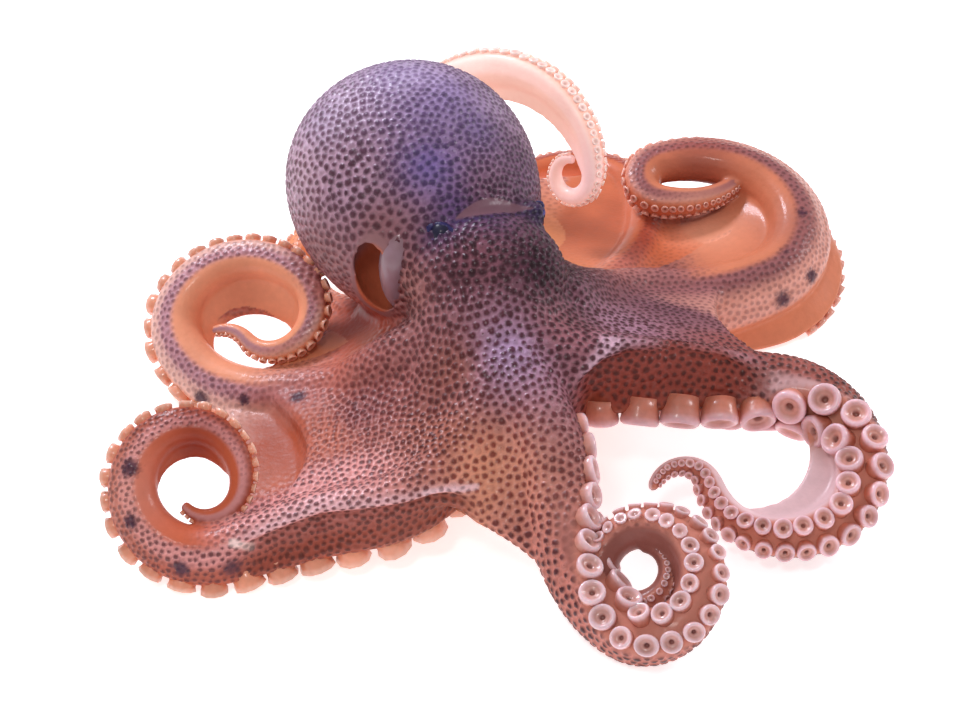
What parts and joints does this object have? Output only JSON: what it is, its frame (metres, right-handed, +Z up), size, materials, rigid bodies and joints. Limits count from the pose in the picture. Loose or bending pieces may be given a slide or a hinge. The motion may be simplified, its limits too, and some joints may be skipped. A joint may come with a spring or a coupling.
{
  "type": "whole octopus",
  "caption": "Whole small octopus at rest: rounded mantle tipped back over the arms, head with eyes, webbed arms tapering into curls with sucker rows.",
  "frame": {"origin": "middle of the bounding box at the plane the arms rest on", "axes": "+Z up from the resting plane, -Y toward the front arms, +X to the right seen from the front"},
  "size_m": [0.1898, 0.2152, 0.0802],
  "materials": {
    "skin": "wet pebbled skin, mauve on the mantle, brown with dark spots on the head and web, orange on the arms",
    "sucker": "wet pale pink suckers with orange side walls",
    "eye": "wet blue-black eye",
    "funnel": "smooth pale wet flesh"
  },
  "bodies": {
    "root": {"octopus": "skin"}
  },
  "joints": []
}
